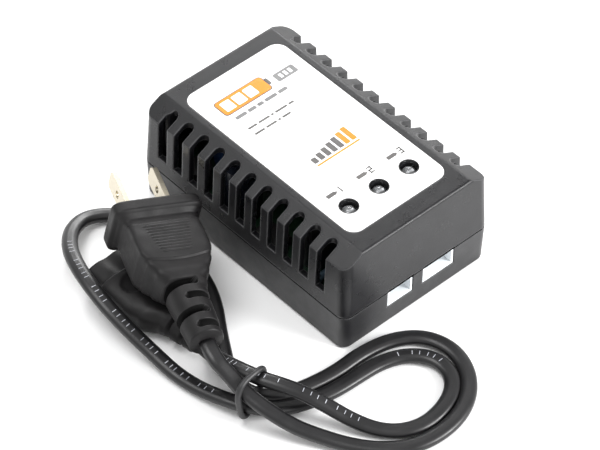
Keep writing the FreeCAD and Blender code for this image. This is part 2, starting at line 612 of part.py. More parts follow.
# ---------------------------------------------------------------- cord
def cord_route():
    """From the plug's relief to the connector's relief, point by point."""
    right, ahead, up = plug_axes()
    start = PLUG_ORIGIN - ahead * PLUG_LEN
    first = start - ahead * 6.0
    route = [
        (-67.8, -37.0, 13.0), (-67.6, -44.2, 9.6), (-65.4, -52.0, 7.6), (-61.6, -59.5, 4.6),
        (-57.0, -66.5, 2.6), (-52.5, -73.8, 2.2), (-46.8, -80.6, 2.2), (-39.5, -85.6, 2.2),
        (-30.5, -87.4, 2.2), (-21.2, -85.9, 2.2), (-13.0, -81.4, 2.2), (-7.3, -74.0, 2.2),
        (-5.4, -65.2, 2.2), (-8.6, -56.8, 2.2), (-16.6, -51.6, 2.2), (-26.6, -49.8, 2.2),
        (-36.4, -50.2, 2.2), (-45.0, -49.2, 2.2), (-52.2, -47.4, 2.3), (-57.8, -44.8, 3.2),
        (-61.3, -40.4, 4.0), (-61.8, -34.6, 3.6), (-59.6, -28.2, 2.6), (-55.8, -21.8, 2.2),
        (-51.4, -14.8, 2.2), (-46.6, -8.0, 2.2), (-42.6, 0.0, 2.2), (-40.2, 9.0, 2.2),
        (-39.2, 18.5, 2.2), (-39.5, 28.0, 2.2), (-41.2, 36.0, 2.2), (-45.6, 42.2, 2.3),
        (-52.6, 45.2, 2.9), (-60.0, 42.4, 4.8), (-65.8, 36.4, 7.4), (-70.2, 28.6, 9.8),
        (-73.2, 19.0, 10.9), (-74.6, 9.0, 9.8), (-74.2, -1.0, 6.8), (-73.0, -10.5, 3.8),
        (-72.4, -19.5, 2.3), (-71.2, -28.0, 2.3), (-69.6, -36.0, 3.2), (-67.4, -42.8, 4.0),
        (-63.6, -47.6, 3.6), (-57.6, -50.9, 2.5), (-50.2, -53.4, 2.2), (-42.0, -55.2, 2.2),
        (-33.4, -55.5, 2.2), (-25.0, -56.0, 2.2), (-17.0, -59.0, 2.2), (-11.8, -65.2, 2.2),
        (-12.2, -72.6, 2.2), (-16.6, -78.0, 2.2), (-23.6, -81.0, 2.2), (-31.4, -81.8, 2.2),
        (-38.2, -79.4, 2.2), (-43.2, -74.4, 2.2), (-46.8, -68.2, 2.6), (-50.0, -61.6, 5.6),
        (-53.2, -55.0, 9.2), (-56.4, -49.0, 10.7), (-59.4, -43.2, 10.9), (-61.1, -37.0, 10.2),
        (-61.7, -31.0, 8.2), (-61.8, -25.4, 6.0),
    ]
    points = [start, first] + [Vector(*p) for p in route]
    points.append(Vector(CONN_X, CONN_TAIL_Y - 4.2, CONN_Z))
    points.append(Vector(CONN_X, CONN_TAIL_Y, CONN_Z))
    return points


def route_path(points):
    """Straight runs joined by arcs, each as large as its two runs allow."""
    edges, radii = [], []
    here = points[0]
    for a, b, c in zip(points, points[1:], points[2:]):
        into, out = (b - a), (c - b)
        run = min(into.Length, out.Length)
        into.normalize()
        out.normalize()
        turn = into.getAngle(out)
        reach = 0.45 * run
        radius = reach / math.tan(turn / 2)
        p, q = b - into * reach, b + out * reach
        inward = (out - into)
        inward.normalize()
        middle = b + inward * (radius / math.cos(turn / 2) - radius)
        edges.append(Part.LineSegment(here, p).toShape())
        edges.append(Part.Arc(p, middle, q).toShape())
        radii.append(radius)
        here = q
    edges.append(Part.LineSegment(here, points[-1]).toShape())
    return Part.Wire(edges), radii


def lead_cord():
    path, radii = route_path(cord_route())
    start = path.Edges[0]
    tangent = start.tangentAt(start.FirstParameter)
    circle = Part.Wire(Part.Circle(start.valueAt(start.FirstParameter), tangent, CORD_R).toShape())
    tube = path.makePipeShell([circle], True, True)
    area = math.pi * CORD_R ** 2
    print("cord length %.1f mm, tube volume %.1f of %.1f mm3" % (path.Length, tube.Volume, area * path.Length))
    print("cord radii:", " ".join("%.1f" % r for r in radii), "smallest %.1f" % min(radii))
    return tube


def lead_tie():
    """Wire tie bent round the bunch: a band with rounded corners, in the plane across the bunch."""
    width, height = 18.8, 16.8
    half, middle = TIE_T / 2, height / 2
    w_in, h_in = width - 2 * TIE_T, height - 2 * TIE_T
    band = rounded_block(width, height, -half, width, height, half, 4.0, 0, middle)
    band = band.cut(rounded_block(w_in, h_in, -TIE_T, w_in, h_in, TIE_T, 2.6, 0, middle))
    across = TIE_DIR.cross(Vector(0, 0, 1)) * -1
    m = FreeCAD.Matrix(across.x, 0, TIE_DIR.x, TIE_CENTRE.x, across.y, 0, TIE_DIR.y, TIE_CENTRE.y,
                       0, 1, 0, TIE_CENTRE.z, 0, 0, 0, 1)
    return place(band, m)


# ---------------------------------------------------------------- build
def build():
    keep("top_shell", top_shell())
    keep("bottom_shell", bottom_shell())
    keep("label_panel", label_panel())
    keep("case_screws", case_screws())
    keep("led_bezels", [led_bezel(i * LED_PITCH) for i in (-1, 0, 1)])
    for number, i in enumerate((-1, 0, 1), start=1):
        keep("cell_%d_led" % number, led_lens(i * LED_PITCH))
    keep("led_legs", led_legs())
    keep("circuit_board", circuit_board())
    for name, (pins, x) in SOCKETS.items():
        keep("balance_socket_" + name, balance_socket(pins, x))
        keep("balance_pins_" + name, balance_pins(pins, x))
    keep("mains_inlet_body", inlet_body())
    keep("mains_inlet_pins", inlet_pins())
    board_parts()
    moulding, blades = plug_parts()
    keep("plug_body", lay_plug(moulding))
    keep("plug_blades", [lay_plug(b) for b in blades])
    moulding, sleeves = connector_parts()
    keep("connector_body", moulding)
    keep("connector_contacts", sleeves)
    keep("lead_cord", lead_cord())
    keep("lead_tie", lead_tie())


build()
for node, shape in NODES.items():
    shape.exportStep("parts/%s.step" % node)
    print("%-22s solids %d valid %s volume %.1f" % (node, len(shape.Solids), shape.isValid(), shape.Volume))
print(len(NODES), "nodes")
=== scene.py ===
"""Looks of the balance battery charger and its mains lead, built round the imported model."""
import json
import math

import bmesh
import bpy
from mathutils import Matrix, Vector


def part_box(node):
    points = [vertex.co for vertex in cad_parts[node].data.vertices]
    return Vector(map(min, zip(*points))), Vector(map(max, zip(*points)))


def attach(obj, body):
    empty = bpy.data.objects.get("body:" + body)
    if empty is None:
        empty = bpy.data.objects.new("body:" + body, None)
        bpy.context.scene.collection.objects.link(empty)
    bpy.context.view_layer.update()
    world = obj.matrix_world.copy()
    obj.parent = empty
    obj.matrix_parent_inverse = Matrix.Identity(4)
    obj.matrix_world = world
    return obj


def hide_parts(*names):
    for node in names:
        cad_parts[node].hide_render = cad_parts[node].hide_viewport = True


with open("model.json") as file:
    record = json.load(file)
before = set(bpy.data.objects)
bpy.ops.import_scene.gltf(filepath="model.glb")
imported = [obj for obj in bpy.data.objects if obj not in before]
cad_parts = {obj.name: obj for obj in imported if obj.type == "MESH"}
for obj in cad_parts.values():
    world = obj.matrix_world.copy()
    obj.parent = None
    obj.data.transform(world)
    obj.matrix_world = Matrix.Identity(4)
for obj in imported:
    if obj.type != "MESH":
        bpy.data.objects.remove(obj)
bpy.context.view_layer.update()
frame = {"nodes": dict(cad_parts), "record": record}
NODES = frame["nodes"]
MM = 0.001
UP = Vector((0, 0, 1))

# ------------------------------------------------------------------ sizes and places
LABEL_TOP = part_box("label_panel")[1][2]
LAMP_BOXES = [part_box("cell_%d_led" % i) for i in (1, 2, 3)]

# The camera: a long lens above the front left corner of the charger.
CAMERA_PLACE = Vector((-0.4750, -0.5062, 0.7285))
CAMERA_AHEAD = Vector((0.46845, 0.50522, -0.72478))
CAMERA_RIGHT = Vector((0.74052, -0.67196, 0.01022))
CAMERA_LENS, CAMERA_SENSOR = 198.8, 36.0

# Disc lights that point at the origin: place, diameter and power.
LIGHTS = {
    "key": ((0.45, -0.8, 0.5), 0.5, 14.0),
    "top": ((-0.25, 0.25, 1.0), 0.6, 5.0),
    "back": ((0.7, 0.7, 0.5), 0.5, 6.0),
}
SKY_STRENGTH = 0.95
FLOOR_HALF, FLOOR_DROP = 3.0, 0.1 * MM

# The cord, the rings of its mesh for each point of its route, and its straight start out of the plug.
CORD_WIDTH, CORD_THICK = 5.0 * MM, 3.2 * MM
CORD_STEPS = 10
CORD_LEAD_IN = 6.0 * MM

# The laid-down plug: the middle of its face, its length and how it is turned.
PLUG_FACE = Vector((-0.0475, 0.0200, 0.0197))
PLUG_LENGTH = 50.0 * MM
PLUG_YAW, PLUG_PITCH, PLUG_ROLL = (math.radians(v) for v in (21.6, 3.8, 11.0))

# The connector lies along Y: the point of its axis that its own sizes are measured from.
CONN_AXIS = Vector((-0.0615, 0, 0.00522))

# The tie: its middle, the way the bunch runs through it and its half sizes.
TIE_CENTRE = Vector((-0.0638, -0.0431, 0.0076))
TIE_DIR = Vector((0.29, -0.957, 0)).normalized()
TIE_HALF_WIDTH, TIE_HALF_HEIGHT, TIE_RADIUS = 6.5 * MM, 6.7 * MM, 0.95 * MM

# Shader scales, in noise cells or waves for each metre.
CLOUDS, GLOSS_PATCHES, DRAWN_MARKS, HAZE, WIRES, FLOOR_CLOUDS = 120, 260, 1500, 700, 500, 8
# Painted highlight: the grey mixed into the base colour along rounded corners, lighter than the dark
# plastics; on pale plastics it darkens those edges.
EDGE_HIGHLIGHT_PAINT = (0.1, 0.1, 0.104)


# ------------------------------------------------------------------ shader helpers
def material(name, color, rough, metal=0.0, spec=0.5, coat=0.0):
    """New node material; returns it with its node tree and its main shader."""
    mat = bpy.data.materials.new(name)
    mat.use_nodes = True
    tree = mat.node_tree
    shader = tree.nodes["Principled BSDF"]
    shader.inputs["Base Color"].default_value = (*color, 1)
    shader.inputs["Roughness"].default_value = rough
    shader.inputs["Metallic"].default_value = metal
    shader.inputs["Specular IOR Level"].default_value = spec
    shader.inputs["Coat Weight"].default_value = coat
    shader.inputs["Coat Roughness"].default_value = 0.15
    return mat, tree, shader


def coords(tree, scale=(1, 1, 1)):
    """Object coordinates, in metres, stretched."""
    where = tree.nodes.new("ShaderNodeTexCoord")
    mapping = tree.nodes.new("ShaderNodeMapping")
    mapping.inputs["Scale"].default_value = scale
    tree.links.new(where.outputs["Object"], mapping.inputs["Vector"])
    return mapping.outputs["Vector"]


def noise(tree, vector, scale, detail=2.0, rough=0.5):
    """Noise texture's value."""
    node = tree.nodes.new("ShaderNodeTexNoise")
    node.inputs["Scale"].default_value = scale
    node.inputs["Detail"].default_value = detail
    node.inputs["Roughness"].default_value = rough
    tree.links.new(vector, node.inputs["Vector"])
    return node.outputs["Fac"]


def spread(tree, value, low, high):
    """Maps a texture's middle range to low..high."""
    node = tree.nodes.new("ShaderNodeMapRange")
    node.inputs["From Min"].default_value = 0.3
    node.inputs["From Max"].default_value = 0.7
    node.inputs["To Min"].default_value = low
    node.inputs["To Max"].default_value = high
    tree.links.new(value, node.inputs["Value"])
    return node.outputs["Result"]


def tint(tree, value, dark, light):
    """Blends two colours by a texture."""
    node = tree.nodes.new("ShaderNodeMix")
    node.data_type = "RGBA"
    node.inputs["A"].default_value = (*dark, 1)
    node.inputs["B"].default_value = (*light, 1)
    tree.links.new(spread(tree, value, 0, 1), node.inputs["Factor"])
    return node.outputs["Result"]


def bump(tree, shader, height, strength, distance, edge=0.0):
    """Surface grain, and with edge a soft rounding of sharp corners of that radius, with a painted
    highlight along them.
    """
    node = tree.nodes.new("ShaderNodeBump")
    node.inputs["Strength"].default_value = strength
    node.inputs["Distance"].default_value = distance
    tree.links.new(height, node.inputs["Height"])
    if edge:
        rounding = tree.nodes.new("ShaderNodeBevel")
        rounding.samples = 6
        rounding.inputs["Radius"].default_value = edge
        tree.links.new(rounding.outputs["Normal"], node.inputs["Normal"])
        paint_edge_highlights(tree, shader, rounding)
    tree.links.new(node.outputs["Normal"], shader.inputs["Normal"])


def paint_edge_highlights(tree, shader, rounding):
    """Painted highlight: the base colour is mixed towards a light grey where the rounding turns the
    surface, so rounded edges look lit; on the pale socket plastic the same mix darkens the edges.
    """
    geometry = tree.nodes.new("ShaderNodeNewGeometry")
    turn = tree.nodes.new("ShaderNodeVectorMath")
    turn.operation = "DOT_PRODUCT"
    tree.links.new(rounding.outputs["Normal"], turn.inputs[0])
    tree.links.new(geometry.outputs["Normal"], turn.inputs[1])
    highlight_mask = tree.nodes.new("ShaderNodeMapRange")
    highlight_mask.inputs["From Min"].default_value = 0.97
    highlight_mask.inputs["From Max"].default_value = 0.78
    tree.links.new(turn.outputs["Value"], highlight_mask.inputs["Value"])
    mix = tree.nodes.new("ShaderNodeMixRGB")
    mix.inputs["Color2"].default_value = (*EDGE_HIGHLIGHT_PAINT, 1)
    base = shader.inputs["Base Color"]
    tree.links.new(base.links[0].from_socket, mix.inputs["Color1"])
    tree.links.new(highlight_mask.outputs["Result"], mix.inputs["Fac"])
    tree.links.new(mix.outputs["Color"], base)


def plastic(name, dark, light, rough, grain, depth, spec=0.5, coat=0.0, edge=0.0):
    """Moulded plastic: cloudy colour, uneven gloss, and a surface grain of that scale and depth; with
    edge, rounded corners that get a painted highlight.
    """
    mat, tree, shader = material(name, dark, sum(rough) / 2, spec=spec, coat=coat)
    place = coords(tree)
    clouds = noise(tree, place, CLOUDS, 3)
    gloss = noise(tree, place, GLOSS_PATCHES, 3)
    tree.links.new(tint(tree, clouds, dark, light), shader.inputs["Base Color"])
    tree.links.new(spread(tree, gloss, *rough), shader.inputs["Roughness"])
    bump(tree, shader, noise(tree, place, grain, 2, 0.6), 0.5, depth, edge)
    return mat


def metal(name, dark, light, rough, stretch=(1, 1, 1)):
    """Metal with fine marks, which stretch can draw out along one axis."""
    mat, tree, shader = material(name, dark, sum(rough) / 2, metal=1.0)
    marks = noise(tree, coords(tree, stretch), DRAWN_MARKS, 3)
    tree.links.new(tint(tree, marks, dark, light), shader.inputs["Base Color"])
    tree.links.new(spread(tree, marks, *rough), shader.inputs["Roughness"])
    bump(tree, shader, marks, 0.15, 0.03 * MM)
    return mat


def enamelled_wire(name, dark, light):
    """Enamelled wire laid side by side: fine ridges across X."""
    mat, tree, shader = material(name, dark, 0.35, spec=0.6)
    wave = tree.nodes.new("ShaderNodeTexWave")
    wave.bands_direction = "X"
    wave.inputs["Scale"].default_value = WIRES
    wave.inputs["Distortion"].default_value = 0.4
    tree.links.new(coords(tree), wave.inputs["Vector"])
    tree.links.new(tint(tree, wave.outputs["Fac"], dark, light), shader.inputs["Base Color"])
    bump(tree, shader, wave.outputs["Fac"], 0.6, 0.2 * MM)
    return mat


def clear_epoxy(name):
    """Clear lamp resin, slightly smoky, with a hazy surface."""
    mat, tree, shader = material(name, (0.78, 0.8, 0.82), 0.06, spec=0.6)
    shader.inputs["Transmission Weight"].default_value = 0.85
    shader.inputs["IOR"].default_value = 1.5
    haze = noise(tree, coords(tree), HAZE, 2)
    tree.links.new(spread(tree, haze, 0.04, 0.14), shader.inputs["Roughness"])
    return mat


# Each plastic: its two colours, its range of roughness, its grain's scale and depth, and what else it has;
# an edge also adds a painted highlight along the rounded corners.
PLASTICS = {
    "case_plastic": dict(dark=(0.0065, 0.0065, 0.0075), light=(0.009, 0.009, 0.0103), rough=(0.26, 0.35),
                         grain=2600, depth=0.05 * MM, spec=0.32, edge=0.8 * MM),
    "case_lower": dict(dark=(0.0085, 0.0085, 0.0098), light=(0.0115, 0.0115, 0.013), rough=(0.36, 0.46),
                       grain=2600, depth=0.05 * MM, edge=0.6 * MM),
    "label_film": dict(dark=(0.86, 0.86, 0.86), light=(0.9, 0.9, 0.9), rough=(0.16, 0.24),
                       grain=900, depth=0.01 * MM, coat=0.3),
    "bezel_gloss": dict(dark=(0.006, 0.006, 0.007), light=(0.01, 0.01, 0.011), rough=(0.07, 0.14),
                        grain=1500, depth=0.01 * MM, spec=0.8, coat=0.5, edge=0.2 * MM),
    "board_laminate": dict(dark=(0.006, 0.03, 0.014), light=(0.012, 0.045, 0.02), rough=(0.3, 0.5),
                           grain=1200, depth=0.03 * MM),
    "socket_nylon": dict(dark=(0.78, 0.82, 0.85), light=(0.85, 0.88, 0.9), rough=(0.3, 0.42),
                         grain=1500, depth=0.02 * MM, edge=0.2 * MM),
    "inlet_plastic": dict(dark=(0.012, 0.012, 0.013), light=(0.018, 0.018, 0.019), rough=(0.4, 0.5),
                          grain=2000, depth=0.04 * MM, edge=0.3 * MM),
    "component_black": dict(dark=(0.008, 0.008, 0.008), light=(0.014, 0.014, 0.014), rough=(0.4, 0.55),
                            grain=1500, depth=0.05 * MM),
    "component_blue": dict(dark=(0.01, 0.025, 0.08), light=(0.015, 0.04, 0.11), rough=(0.3, 0.45),
                           grain=900, depth=0.04 * MM),
    "component_white": dict(dark=(0.5, 0.5, 0.47), light=(0.6, 0.6, 0.57), rough=(0.4, 0.5),
                            grain=900, depth=0.04 * MM),
    "ferrite": dict(dark=(0.012, 0.011, 0.011), light=(0.022, 0.02, 0.02), rough=(0.5, 0.7),
                    grain=1800, depth=0.1 * MM),
    "capacitor_sleeve": dict(dark=(0.008, 0.01, 0.016), light=(0.012, 0.015, 0.024), rough=(0.2, 0.3),
                             grain=700, depth=0.03 * MM, coat=0.3),
    "winding_tape": dict(dark=(0.4, 0.26, 0.03), light=(0.5, 0.33, 0.05), rough=(0.3, 0.45),
                         grain=800, depth=0.05 * MM),
    "resistor_coat": dict(dark=(0.05, 0.09, 0.12), light=(0.08, 0.12, 0.16), rough=(0.4, 0.55),
                          grain=900, depth=0.05 * MM),
    "lead_pvc": dict(dark=(0.0065, 0.0062, 0.0066), light=(0.012, 0.0112, 0.0116), rough=(0.4, 0.56),
                     grain=1500, depth=0.05 * MM, spec=0.22),
    # Painted shade: a darker, duller black for the floors of the plug's relief slots, where shade falls.
    "slot_painted_shade": dict(dark=(0.003, 0.003, 0.003), light=(0.004, 0.004, 0.004), rough=(0.6, 0.7),
                        grain=1500, depth=0.03 * MM, spec=0.08),
    "cord_pvc": dict(dark=(0.0055, 0.0053, 0.006), light=(0.009, 0.0087, 0.0095), rough=(0.3, 0.42),
                     grain=1100, depth=0.04 * MM, spec=0.42, coat=0.05),
    "tie_pvc": dict(dark=(0.01, 0.01, 0.011), light=(0.015, 0.015, 0.016), rough=(0.4, 0.5),
                    grain=1200, depth=0.04 * MM),
    "ink_orange": dict(dark=(0.6, 0.2, 0.01), light=(0.68, 0.25, 0.015), rough=(0.2, 0.3),
                       grain=700, depth=0.01 * MM),
    "ink_grey": dict(dark=(0.13, 0.13, 0.13), light=(0.18, 0.18, 0.18), rough=(0.3, 0.4),
                     grain=700, depth=0.01 * MM),
    "ink_dark": dict(dark=(0.06, 0.055, 0.055), light=(0.09, 0.085, 0.08), rough=(0.3, 0.4),
                     grain=700, depth=0.01 * MM),
    "ink_white": dict(dark=(0.28, 0.29, 0.33), light=(0.6, 0.61, 0.65), rough=(0.4, 0.5),
                      grain=900, depth=0.01 * MM),
    # Painted shadow: black for the band that stands for the shadow in the gap between the shells.
    "gap_painted_shadow": dict(dark=(0.001, 0.001, 0.001), light=(0.002, 0.002, 0.002), rough=(0.7, 0.8),
                         grain=900, depth=0.01 * MM, spec=0.1),
}
METALS = {
    "screw_steel": dict(dark=(0.25, 0.25, 0.26), light=(0.4, 0.4, 0.41), rough=(0.3, 0.45)),
    "tinned_wire": dict(dark=(0.55, 0.55, 0.56), light=(0.7, 0.7, 0.71), rough=(0.25, 0.4)),
    "plated_brass": dict(dark=(0.57, 0.52, 0.41), light=(0.61, 0.56, 0.45), rough=(0.27, 0.33)),
    "heat_sink_aluminium": dict(dark=(0.2, 0.2, 0.21), light=(0.3, 0.3, 0.31), rough=(0.35, 0.5),
                                stretch=(1, 1, 12)),
}


def make_materials():
    """All the finishes, by name."""
    mats = {name: plastic(name, **look) for name, look in PLASTICS.items()}
    mats.update({name: metal(name, **look) for name, look in METALS.items()})
    mats["led_epoxy"] = clear_epoxy("led_epoxy")
    mats["enamelled_copper"] = enamelled_wire("enamelled_copper", (0.2, 0.05, 0.015), (0.4, 0.12, 0.03))
    return mats


MATS = make_materials()


# ------------------------------------------------------------------ making pieces
def link(name, mesh, slot, mat=None, body="charger", replaces=(), smooth=True):
    """Puts a mesh in the scene as a named piece, with its finish and its body, and hides the CAD parts
    that it replaces.
    """
    for face in mesh.polygons:
        face.use_smooth = smooth
    piece = bpy.data.objects.new(name, mesh)
    bpy.context.scene.collection.objects.link(piece)
    mesh.materials.append(MATS[mat or slot])
    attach(piece, body)
    if replaces:
        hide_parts(*replaces)
    return piece


def to_mesh(bm, name):
    """Mesh with its normals outwards, from a bmesh that is then freed."""
    bmesh.ops.recalc_face_normals(bm, faces=bm.faces)
    mesh = bpy.data.meshes.new(name)
    bm.to_mesh(mesh)
    bm.free()
    return mesh


def turns(count):
    """Angles of a full turn in equal steps."""
    return [2 * math.pi * i / count for i in range(count)]


def bridge(bm, rings):
    """Faces between each ring of vertices and the next."""
    n = len(rings[0])
    for r0, r1 in zip(rings, rings[1:]):
        for k in range(n):
            bm.faces.new((r0[k], r0[(k + 1) % n], r1[(k + 1) % n], r1[k]))


def join_rings(bm, rings):
    """Skin over a row of vertex rings, closed at both ends."""
    bridge(bm, rings)
    bm.faces.new(list(reversed(rings[0])))
    bm.faces.new(rings[-1])


def ease(value):
    """Smooth step from 0 to 1."""
    t = min(max(value, 0.0), 1.0)
    return t * t * (3 - 2 * t)


# ------------------------------------------------------------------ camera and light
def look_camera():
    """The camera, from its place and the ways it looks ahead and to the right."""
    data = bpy.data.cameras.new("camera")
    data.sensor_width = CAMERA_SENSOR
    data.lens = CAMERA_LENS
    data.clip_start, data.clip_end = 0.05, 10
    camera = bpy.data.objects.new("camera", data)
    ahead = CAMERA_AHEAD.normalized()
    right = (CAMERA_RIGHT - ahead * CAMERA_RIGHT.dot(ahead)).normalized()
    turn = Matrix((right, right.cross(ahead), -ahead)).transposed().to_4x4()
    camera.matrix_world = Matrix.Translation(CAMERA_PLACE) @ turn
    bpy.context.scene.collection.objects.link(camera)
    bpy.context.scene.camera = camera


def area_light(name, place, size, power):
    """Disc light that points at the origin."""
    data = bpy.data.lights.new(name, "AREA")
    data.shape = "DISK"
    data.size = size
    data.energy = power
    lamp = bpy.data.objects.new(name, data)
    lamp.location = place
    lamp.rotation_euler = (-Vector(place)).to_track_quat("-Z", "Y").to_euler()
    bpy.context.scene.collection.objects.link(lamp)


def make_floor():
    """Pale matt floor."""
    corners = [(x, y, 0) for x, y in bar(-FLOOR_HALF, FLOOR_HALF, -FLOOR_HALF, FLOOR_HALF)]
    mesh = bpy.data.meshes.new("floor")
    mesh.from_pydata(corners, [], [(0, 1, 2, 3)])
    floor = bpy.data.objects.new("floor", mesh)
    floor.location.z = -FLOOR_DROP
    bpy.context.scene.collection.objects.link(floor)
    mat, tree, shader = material("floor", (0.95, 0.95, 0.95), 0.8, spec=0.2)
    clouds = noise(tree, coords(tree), FLOOR_CLOUDS, 2)
    tree.links.new(tint(tree, clouds, (0.94, 0.94, 0.94), (0.96, 0.96, 0.96)), shader.inputs["Base Color"])
    mesh.materials.append(mat)


def studio():
    """White surroundings, soft lights and a pale floor."""
    scene = bpy.context.scene
    world = bpy.data.worlds.new("world")
    scene.world = world
    world.use_nodes = True
    back = world.node_tree.nodes["Background"]
    back.inputs["Color"].default_value = (1, 1, 1, 1)
    back.inputs["Strength"].default_value = SKY_STRENGTH
    for name, (place, size, power) in LIGHTS.items():
        area_light(name, place, size, power)
    make_floor()
    scene.view_settings.view_transform = "Standard"


# ------------------------------------------------------------------ plug axes
def plug_axes():
    """Unit vectors of the laid-down plug: to the right, along the blades, up."""
    back = Vector((-math.sin(PLUG_YAW), -math.cos(PLUG_YAW), 0))
    right = Vector((math.cos(PLUG_YAW), -math.sin(PLUG_YAW), 0))
    pitched = back * math.cos(PLUG_PITCH) - UP * math.sin(PLUG_PITCH)
    lifted = UP * math.cos(PLUG_PITCH) + back * math.sin(PLUG_PITCH)
    rolled = right * math.cos(PLUG_ROLL) - lifted * math.sin(PLUG_ROLL)
    top = lifted * math.cos(PLUG_ROLL) + right * math.sin(PLUG_ROLL)
    return rolled, -pitched, top


PLUG_RIGHT, PLUG_AHEAD, PLUG_TOP = plug_axes()
PLUG_TURN = Matrix((PLUG_RIGHT, PLUG_AHEAD, PLUG_TOP)).transposed().to_4x4()
PLUG_MATRIX = Matrix.Translation(PLUG_FACE) @ PLUG_TURN
CORD_START = PLUG_FACE - PLUG_AHEAD * PLUG_LENGTH

# ------------------------------------------------------------------ cord
# The route's points, from the plug's relief to the connector's relief, in millimetres.
ROUTE = [
    (-67.2, -37.0, 13.0), (-66.6, -43.9, 9.6), (-64.9, -52.0, 7.6), (-61.6, -59.5, 4.6),
    (-57.0, -66.5, 2.6), (-52.5, -73.8, 1.8), (-46.8, -80.6, 1.7), (-39.5, -85.6, 1.7),
    (-30.5, -87.2, 1.7), (-21.2, -85.9, 1.7), (-13.0, -81.4, 1.7), (-7.3, -74.0, 1.7),
    (-5.4, -65.2, 1.7), (-8.6, -56.8, 1.7), (-16.6, -51.6, 1.7), (-26.6, -49.8, 1.7),
    (-36.4, -50.2, 1.7), (-45.0, -49.2, 1.8), (-52.8, -47.4, 2.0), (-58.8, -44.9, 2.9),
    (-62.1, -40.6, 3.6), (-62.4, -34.6, 3.2), (-59.8, -28.2, 2.2), (-55.8, -21.8, 1.7),
    (-51.4, -14.8, 1.7), (-46.6, -8.0, 1.7), (-42.6, 0.0, 1.7), (-40.2, 9.0, 1.7),
    (-39.2, 18.5, 1.7), (-39.5, 28.0, 1.7), (-41.2, 36.0, 1.7), (-45.6, 42.2, 1.9),
    (-52.6, 45.2, 2.9), (-60.0, 42.4, 4.8), (-65.8, 36.4, 7.4), (-70.2, 28.6, 9.8),
    (-73.2, 19.0, 10.9), (-74.6, 9.0, 9.8), (-74.2, -1.0, 6.8), (-73.0, -10.5, 3.8),
    (-72.4, -19.5, 2.0), (-71.2, -28.0, 2.0), (-69.2, -36.0, 3.0), (-66.8, -42.6, 3.8),
    (-63.2, -47.5, 3.4), (-57.6, -50.9, 2.2), (-50.2, -53.4, 1.7), (-42.0, -55.2, 1.7),
    (-33.4, -55.5, 1.7), (-25.0, -56.0, 1.7), (-17.0, -59.0, 1.7), (-11.8, -65.2, 1.7),
    (-12.2, -72.6, 1.7), (-16.6, -78.0, 1.7), (-23.6, -81.0, 1.7), (-31.4, -81.8, 1.7),
    (-38.2, -79.4, 1.8), (-43.2, -74.4, 2.0), (-46.8, -68.2, 3.4), (-50.2, -61.8, 6.4),
    (-53.8, -55.2, 9.4), (-57.2, -49.2, 10.7), (-60.3, -43.4, 10.9), (-61.8, -37.0, 10.2),
    (-62.0, -31.0, 8.2), (-61.8, -25.4, 6.0), (-61.5, -21.7, 5.22), (-61.5, -17.5, 5.22),
]


def smooth_line(points, name):
    """Points along the NURBS curve that has the given points as its control points."""
    curve = bpy.data.curves.new(name, "CURVE")
    curve.dimensions = "3D"
    curve.resolution_u = CORD_STEPS
    spline = curve.splines.new("NURBS")
    spline.points.add(len(points) - 1)
    for point, place in zip(spline.points, points):
        point.co = (*place, 1)
    spline.order_u = 3
    spline.use_endpoint_u = True
    holder = bpy.data.objects.new(name, curve)
    bpy.context.scene.collection.objects.link(holder)
    bpy.context.view_layer.update()
    line = bpy.data.meshes.new_from_object(holder)
    path = [v.co.copy() for v in line.vertices]
    bpy.data.objects.remove(holder)
    bpy.data.meshes.remove(line)
    return path


def flat_section():
    """Outline of a flat twin cord: a broad oval with a shallow crease down each face."""
    wide_power, thick_power = 0.92, 0.84
    crease_depth, crease_reach = 0.05, 0.45 * MM
    points = []
    for a in turns(36):
        u = math.copysign(abs(math.cos(a)) ** wide_power, math.cos(a)) * CORD_WIDTH / 2
        v = math.copysign(abs(math.sin(a)) ** thick_power, math.sin(a)) * CORD_THICK / 2
        crease = crease_depth * math.exp(-(u / crease_reach) ** 2)
        points.append((u, v * (1 - crease)))
    return points


def cord_frames(path):
    """Each point of the cord's line, with its ways along, across and up, the flat side kept level."""
    frames = []
    for i, point in enumerate(path):
        a, b = path[max(i - 1, 0)], path[min(i + 1, len(path) - 1)]
        along = (b - a).normalized()
        wide = along.cross(UP).normalized()
        frames.append((point, along, wide, wide.cross(along)))
    return frames


def make_cord():
    """The cord's jacket; returns it with its line, its frames and its length."""
    control = [CORD_START, CORD_START - PLUG_AHEAD * CORD_LEAD_IN] + [Vector(p) * MM for p in ROUTE]
    path = smooth_line(control, "cord_line")
    frames = cord_frames(path)
    section = flat_section()
    bm = bmesh.new()
    rings = [[bm.verts.new(p + wide * u + up * v) for u, v in section] for p, _, wide, up in frames]
    join_rings(bm, rings)
    piece = link("cord_jacket", to_mesh(bm, "cord_jacket"), "cord_pvc", body="mains_lead",
                 replaces=["lead_cord"])
    length = sum((b - a).length for a, b in zip(path, path[1:]))
    return piece, path, frames, length


# Stretches of the cord whose printed side faces up, by the numbers of the route's points.
PRINTED = [(34.5, 42.6), (50.3, 52.4), (58.6, 61.2), (62.0, 65.0)]
PRINT_TALL, PRINT_WIDTH, PRINT_PITCH = 1.25 * MM, 0.2 * MM, 1.75 * MM
PRINT_SHIFTS = (-0.475 * MM, -0.285 * MM)   # of every other stroke, so that they aren't evenly spaced
PRINT_GROUP, PRINT_GAP_AFTER, PRINT_GAP = 9, (3, 8), 2.2
PRINT_RAISED, PRINT_SUNK = 0.04 * MM, 0.3 * MM


def stroke(bm, frame_at, shift):
    """Thin raised ink line across the cord's upper face, moved by shift along the cord."""
    point, along, wide, up = frame_at
    middle = point + up * (CORD_THICK * 0.475) + along * shift
    across, run = wide * (PRINT_TALL + PRINT_WIDTH) / 2, along * PRINT_WIDTH / 2
    corners = [middle - across - run, middle + across - run, middle + across + run, middle - across + run]
    low = [bm.verts.new(c - up * PRINT_SUNK) for c in corners]
    high = [bm.verts.new(c + up * PRINT_RAISED) for c in corners]
    join_rings(bm, [low, high])


